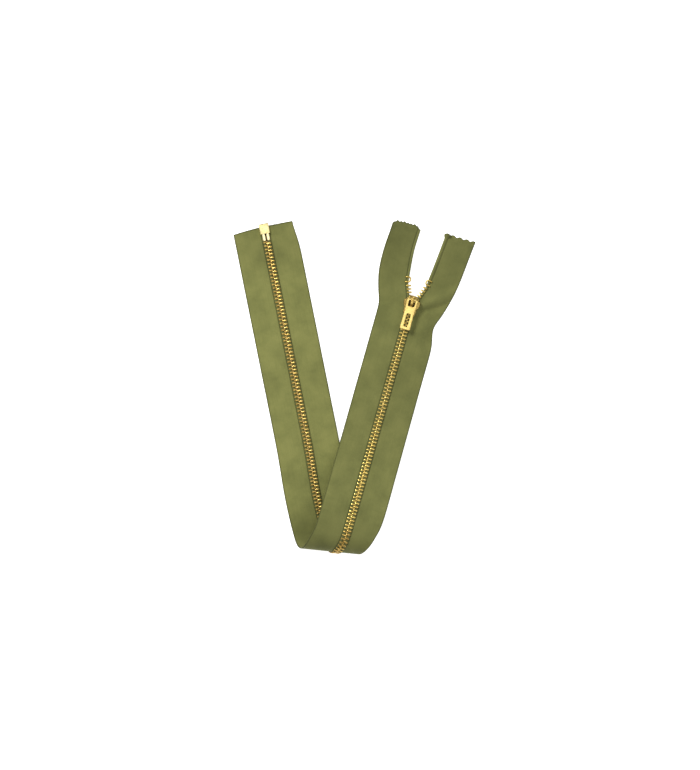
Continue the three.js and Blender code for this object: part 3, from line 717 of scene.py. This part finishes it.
blend_start = on_ribbon(PIVOT_S - 0.6, 0, 0) * MM
blend_end = on_ribbon(PIVOT_S + 15, 0, 0) * MM
for side, word in ((-1, "left"), (1, "right")):
    other = f"{word}_end"
    folded = tape_mesh(f"tape_{word}_folded", side, tape_stations(-LOWER_LENGTH, SEAM_S), False)
    finish_piece(folded, "chain", "tape", TAPE,
                 f"tape_{word}_lower", f"tape_{word}_fold", f"tape_{word}_ramp")
    end = lines[side]["end"]
    opening = tape_mesh(f"tape_{word}_opening", side, tape_stations(SEAM_S, end), True)
    finish_piece(opening, None, "tape", TAPE, f"tape_{word}_upper", f"cord_{word}_end")
    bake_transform(opening)


# ---------------------------------------------------------------- the teeth
FOLD_TEETH = (-26, 19)  # the teeth round the fold lie between these places
# A tooth's outline, across the tape and out of its front: a head, and two legs with the cord between them
wishbone = [(-0.60, 0.0), (-0.59, 0.42), (-0.50, 0.72), (-0.30, 0.93), (0.05, 1.02), (0.5, 1.0), (0.95, 1.08),
            (1.35, 1.15), (1.8, 1.13), (2.06, 1.02), (2.2, 0.84), (2.19, 0.68), (2.08, 0.61),
            (1.5, 0.62), (1.1, 0.6), (0.93, 0.42)]
wishbone += [(v, -h) for v, h in reversed(wishbone[1:])]
wishbone = np.array(wishbone)[::-1]


def tooth():
    """One tooth: a rounded head, and two legs that grip the cord. Points as (s, v, h)."""
    outer = wishbone
    inner = inset(outer if area(outer) > 0 else outer[::-1], 0.1)
    if area(outer) < 0:
        inner = inner[::-1]
    v = outer[:, 0]
    length = TOOTH_LENGTH / 2 * (1 - 0.14 * (1 - smooth(v, -0.62, -0.1)) - 0.16 * smooth(v, 1.5, 2.2))
    rings = []
    for at, shape in ((-1, inner), (-0.72, outer), (0.72, outer), (1, inner)):
        rings += [(at * l, p[0], p[1]) for l, p in zip(length, shape)]
    return np.array(rings), ring_faces(len(outer), 4)


tooth_points, tooth_faces = tooth()


def teeth_mesh(name, side, places):
    """A row of teeth, one at each place along a side."""
    along, v, h = tooth_points.T
    points, faces = together([(on_side(side, s + along, v, h), tooth_faces) for s in places])
    return add_mesh(name, points, faces, 40)


for side, word, singles in ((-1, "left", 3), (1, "right", 4)):
    other = f"{word}_end"
    first = -LOWER_LENGTH + TEETH_START + (0 if side < 0 else PITCH / 2) + TOOTH_LENGTH / 2
    places = np.arange(first, MOUTH - TOOTH_LENGTH / 2, PITCH)
    row = teeth_mesh(f"teeth_{word}_back", side, places[places < FOLD_TEETH[0]])
    finish_piece(row, "chain", "brass", BACK_AND_FOLD_SHADE_BRASS, f"teeth_{word}_lower")
    round_fold = (places >= FOLD_TEETH[0]) & (places < FOLD_TEETH[1])
    # The teeth round the fold take the darker brass, painted shade
    row = teeth_mesh(f"teeth_{word}_folded", side, places[round_fold])
    finish_piece(row, "chain", "brass", BACK_AND_FOLD_SHADE_BRASS, f"teeth_{word}_fold")
    row = teeth_mesh(f"teeth_{word}_rising", side, places[(places >= FOLD_TEETH[1]) & (places < SEAM_S)])
    finish_piece(row, "chain", "brass", TOOTH_BRASS, f"teeth_{word}_ramp")
    row = teeth_mesh(f"teeth_{word}_opening", side, places[places >= SEAM_S])
    finish_piece(row, None, "brass", TOOTH_BRASS, f"teeth_{word}_upper")
    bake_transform(row)
    start = MOUTH + 0.35 + (0.6 if side < 0 else -0.1)
    for k in range(singles):
        one = teeth_mesh(f"tooth_{word}_{k + 1}_cast", side, [start + FREE_PITCH * k + TOOTH_LENGTH / 2])
        finish_piece(one, other, "brass", TOOTH_BRASS, f"tooth_{word}_{k + 1}")
    # The top stop: one wire, bent over the cord and down through the tape
    s0 = start + FREE_PITCH * singles + 0.1
    low, high, top = s0 + 0.5, s0 + 3.1, 0.92
    path = [(low, 1.7, -0.82), (low, 2.35, -0.78), (low, 2.72, -0.4), (low, 2.8, 0.1), (low, 2.7, 0.62),
            (low, 2.35, 0.9), (low, 1.7, top), (low, 1.1, top)]
    middle_s, radius = (low + high) / 2, (high - low) / 2
    path += [(middle_s - radius * math.cos(a), 1.0 - 0.95 * math.sin(a), top)
             for a in np.linspace(0.15, math.pi - 0.15, 9)]
    path += [(high, v, h) for _, v, h in reversed(path[:8])]
    path = np.array(path)
    points, faces = tube(path, 0.43, 10)
    points = on_side(side, points[:, 0], points[:, 1], points[:, 2])
    stop = add_mesh(f"top_stop_{word}_wire", points, faces, 60)
    finish_piece(stop, other, "brass", TOOTH_BRASS, f"top_stop_{word}")


# ---------------------------------------------------------------- the slider
def curve_points(start, steps):
    """An outline from lines and quadratic curves."""
    out = [np.array(start, float)]
    for step in steps:
        if len(step) == 1:
            out.append(np.array(step[0], float))
        else:
            a, c, b = out[-1], np.array(step[0], float), np.array(step[1], float)
            out += [(1 - t) ** 2 * a + 2 * t * (1 - t) * c + t * t * b for t in np.linspace(0, 1, 9)[1:]]
    return np.array(out)


SLIDER_HALF_WIDTH, TAIL_HALF_WIDTH, NOSE_HALF_WIDTH = 4.65, 3.5, 2.5
SLIDER_TOP, SLIDER_TAIL = 3.6, -7.2  # up the leg from the slider's centre
UPPER_PLATE = (3.6, 4.4)  # heights of its two faces
LOWER_PLATE = (0.02, 0.8)


def slider_outline():
    """The outline of the slider's plates: wide at the shoulders, with a narrower nose and tail."""
    w, n = SLIDER_HALF_WIDTH, NOSE_HALF_WIDTH
    right = curve_points((TAIL_HALF_WIDTH, SLIDER_TAIL),
                         [[(TAIL_HALF_WIDTH + 0.1, -3.6)], [(w, -2.2), (w, -0.6)], [(w, 1.2), (w - 0.9, 1.2)],
                          [(n + 0.9, 1.3), (n + 0.15, SLIDER_TOP - 1.1)],
                          [(n, SLIDER_TOP), (n - 0.8, SLIDER_TOP)]])
    left = right[::-1] * (-1, 1)
    return round_corners(np.concatenate([right, left]), [0.9] + [0.05] * (2 * len(right) - 2) + [0.9], 4)


body = []
full = slider_outline()
recesses = [round_corners([(m * 0.95, -2.9), (m * 1.8, -2.9), (m * 1.8, top), (m * 0.95, top)], 0.18, 3)
            for m, top in ((-1, 0.45), (1, -0.3))]
body.append(plate(full, *LOWER_PLATE, 0.3, steps=4))
body.append(plate(full, *UPPER_PLATE, 0.28, holes=recesses, steps=4))
# The flanges along both plates' edges, with the tapes' slot between them
for mirror in (-1, 1):
    edge = full[(full[:, 0] * mirror > 2.3) & (full[:, 1] < 1.25)]
    edge = edge[np.argsort(edge[:, 1])]
    channel = np.interp(edge[:, 1], [SLIDER_TAIL, -3.6, -0.4, 1.3], [2.42, 2.42, 3.02, 3.55])
    inner = np.stack([mirror * channel, edge[:, 1]], 1)
    strip = np.concatenate([edge * (0.996, 1), inner[::-1]])
    for low, high in ((0.6, 1.6), (2.8, 3.8)):
        body.append(plate(strip, low, high, 0.12, steps=2))
# The diamond that parts the rows
post = round_corners([(0, 0.7), (0.8, 3.1), (0.5, 3.55), (-0.5, 3.55), (-0.8, 3.1)], 0.2)
body.append(plate(post, 0.6, 3.8, 0.08, steps=1))
points, faces = together(body)
# The shell takes the darker brass, painted shade
slider = add_mesh("slider_shell", on_leg(points[:, 0], points[:, 1], points[:, 2]), faces, 40)
finish_piece(slider, "slider", "brass", SHADED_SHELL_BRASS, "slider_body")

# A dark plate under the two openings in the top plate: painted shade, standing in for the shadowed channel
# below them
floor_plate = round_corners([(-2.2, -3.3), (2.2, -3.3), (2.2, 0.9), (-2.2, 0.9)], 0.4, 4)
points, faces = plate(floor_plate, 3.66, 3.86, 0.06, steps=1)
recess = add_mesh("slider_recess", on_leg(points[:, 0], points[:, 1], points[:, 2]), faces, 40)
finish_piece(recess, "slider", "brass", SHADE_PLATE_BRASS)

# The crown: an arch with rounded shoulders, from the plate over the pull's bar and back down
PLATE_TOP = UPPER_PLATE[1]
arch = [(-2.3, -0.1), (-2.25, 1.3), (-1.5, 2.42), (0.3, 2.5), (2.1, 2.4), (2.85, 1.5), (2.95, -0.1),
        (2.15, -0.1), (2.1, 1.2), (1.6, 1.72), (0.3, 1.76), (-1.1, 1.7), (-1.5, 1.1), (-1.55, -0.1)]
arch = round_corners(arch, [0.05, 0.8, 0.9, 0.6, 0.8, 0.8, 0.05, 0.05, 0.5, 0.5, 0.5, 0.5, 0.5, 0.05], 5)
points, faces = plate(arch, -0.85, 0.85, 0.38, steps=4)
# It widens towards its feet
spread = 1 + 0.35 * (1 - smooth(points[:, 1], 0.0, 1.5))
points = on_leg(points[:, 2] * spread, points[:, 0], points[:, 1] + PLATE_TOP)
crown = add_mesh("crown_arch", points, faces, 40)
finish_piece(crown, "slider", "brass", BODY_BRASS, "crown")

# The lock: a leaf spring over a lever, whose pin ends just above the teeth
leaf = round_corners([(-0.5, -1.2), (0.5, -1.2), (0.5, 1.5), (-0.5, 1.5)], 0.2)
points, faces = plate(leaf, 5.9, 6.1, 0.06, steps=2)
sag = 0.05 * points[:, 1] ** 2 / 2
spring = add_mesh("pawl_leaf", on_leg(points[:, 0], points[:, 1], points[:, 2] - sag), faces)
finish_piece(spring, "slider", "spring_steel", STEEL, "pawl_spring")

lever = [(-1.4, 0.25), (-0.8, 0.25), (-0.75, -0.75), (-0.25, -0.75), (-0.2, 0.25), (0.4, 0.25), (0.5, 0.65),
         (-1.4, 0.65)]
points, faces = plate(round_corners(lever, 0.12, 3), -0.55, 0.55, 0.08, steps=2)
pawl = add_mesh("pawl_lever", on_leg(points[:, 2], points[:, 0], points[:, 1] + PLATE_TOP), faces)
finish_piece(pawl, "pawl", "spring_steel", STEEL, "lock_pawl")

# The pull: a flat tab with an eye round the crown and a plain slot
HINGE_U, HINGE_Z = 1.1, PLATE_TOP + 0.62
PULL_END = HINGE_U - 17.0
HALF_THICK = 0.45
half = curve_points((2.1, PULL_END), [[(2.9, PULL_END), (2.9, PULL_END + 0.8)], [(2.75, HINGE_U - 9)],
                                      [(2.7, HINGE_U - 6), (2.95, HINGE_U - 4)], [(2.9, HINGE_U - 0.3)],
                                      [(2.9, HINGE_U + 0.42), (2.2, HINGE_U + 0.42)]])
tab = resample(np.concatenate([half, half[::-1] * (-1, 1)]), 0.8)
eye = round_corners([(-1.85, HINGE_U - 3.75), (1.85, HINGE_U - 3.75), (1.85, HINGE_U - 0.42),
                     (-1.85, HINGE_U - 0.42)], [0.8, 0.8, 0.3, 0.3], 6)
slot = round_corners([(-1.1, HINGE_U - 15.3), (1.1, HINGE_U - 15.3), (1.1, HINGE_U - 8), (-1.1, HINGE_U - 8)],
                     0.5, 5)
points, faces = plate(tab, HINGE_Z - HALF_THICK, HINGE_Z + HALF_THICK, 0.26, holes=[eye, slot], steps=4)
pull = add_mesh("pull_plate", on_leg(points[:, 0], points[:, 1], points[:, 2]), faces, 40)
finish_piece(pull, "pull", "brass", PULL_BRASS, "pull_tab")

# ---------------------------------------------------------------- the box and its pins
shell = round_corners([(-2.7, -1.7), (2.7, -1.7), (2.7, 1.13), (-2.7, 1.13)], 0.45, 5)
bore = round_corners([(-2.15, -1.15), (2.15, -1.15), (2.15, 0.8), (-2.15, 0.8)], 0.2, 3)
rim = round_corners([(-2.62, -1.62), (2.62, -1.62), (2.62, 1.05), (-2.62, 1.05)], 0.4, 5)
points, faces = plate(shell, -1.05, 4.3, 0.16, holes=[bore], steps=3)
box = add_mesh("retainer_shell", on_box_end(points[:, 0], points[:, 2], points[:, 1]), faces, 40)
finish_piece(box, "chain", "brass", BOX_BRASS, "retainer_box")
points, faces = plate(rim, -1.4, -0.85, 0.14, steps=3)
# The lip under the box takes the darker brass, painted shade
lip = add_mesh("retainer_lip", on_box_end(points[:, 0], points[:, 2], points[:, 1]), faces, 40)
finish_piece(lip, "chain", "brass", SHADED_SHELL_BRASS)
for side, word, node_name in ((-1, "pin_left", "retaining_pin"), (1, "pin_right", "insertion_pin")):
    bar = round_corners([(0.34, -0.6), (2.0, -0.6), (2.0, 8.0), (1.5, 8.2), (0.6, 8.2), (0.34, 7.9)], 0.3, 4)
    points, faces = plate(resample(bar, 0.9), -0.98, 0.72, 0.26, steps=3)
    pin = add_mesh(word, on_box_end(side * points[:, 0], points[:, 1], points[:, 2]), faces, 40)
    finish_piece(pin, "chain", "pin_brass", PIN_BRASS, node_name)

# A dark plate in the gap between the pins: painted shade
gap = round_corners([(-0.5, 3.0), (0.5, 3.0), (0.5, 8.3), (-0.5, 8.3)], 0.1, 2)
points, faces = plate(gap, -0.5, -0.1, 0.05, steps=1)
core = add_mesh("pin_recess", on_box_end(points[:, 0], points[:, 1], points[:, 2]), faces, 40)
finish_piece(core, "chain", "pin_brass", SHADE_PLATE_BRASS)

# ---------------------------------------------------------------- floor, world and light
floor_mesh = bpy.data.meshes.new("floor")
R = 12  # half the floor's width, in m
floor_mesh.from_pydata([(-R, -R, 0), (R, -R, 0), (R, R, 0), (-R, R, 0)], [], [(0, 1, 2, 3)])
floor = bpy.data.objects.new("floor", floor_mesh)
bpy.context.collection.objects.link(floor)
floor_look, shader, _, _ = material("floor_white")
shader.inputs["Base Color"].default_value = (0.93, 0.93, 0.93, 1)
shader.inputs["Roughness"].default_value = 0.9
shader.inputs["Emission Color"].default_value = (1, 1, 1, 1)
shader.inputs["Emission Strength"].default_value = 0.7
floor_mesh.materials.append(floor_look)

world = bpy.data.worlds.new("studio")
bpy.context.scene.world = world
world.use_nodes = True
sky = world.node_tree
sky.nodes["Background"].inputs["Color"].default_value = (1, 1, 1, 1)
# The backdrop is white down to the floor, and the room above it dimmer
upward = sky.nodes.new("ShaderNodeSeparateXYZ")
sky.links.new(sky.nodes.new("ShaderNodeTexCoord").outputs["Generated"], upward.inputs["Vector"])
fade = sky.nodes.new("ShaderNodeMapRange")
fade.interpolation_type = "SMOOTHSTEP"
sky.links.new(upward.outputs["Z"], fade.inputs["Value"])
for key, value in (("From Min", 0.22), ("From Max", 0.45), ("To Min", 1.0), ("To Max", 0.42)):
    fade.inputs[key].default_value = value
sky.links.new(fade.outputs["Result"], sky.nodes["Background"].inputs["Strength"])
bpy.context.scene.view_settings.view_transform = "Standard"


def lamp(name, place, size, power):
    """A square lamp that faces the middle of the floor."""
    data = bpy.data.lights.new(name, "AREA")
    data.shape, data.size, data.energy = "SQUARE", size, power
    obj = bpy.data.objects.new(name, data)
    bpy.context.collection.objects.link(obj)
    obj.location = place
    obj.rotation_euler = (-Vector(place)).to_track_quat("-Z", "Y").to_euler()


lamp("key", (-0.62, 0.75, 0.85), 0.35, 13)
lamp("fill", (0.9, 0.2, 1.2), 0.6, 2)
lamp("overhead", (0.0, 0.05, 1.35), 0.7, 2.7)
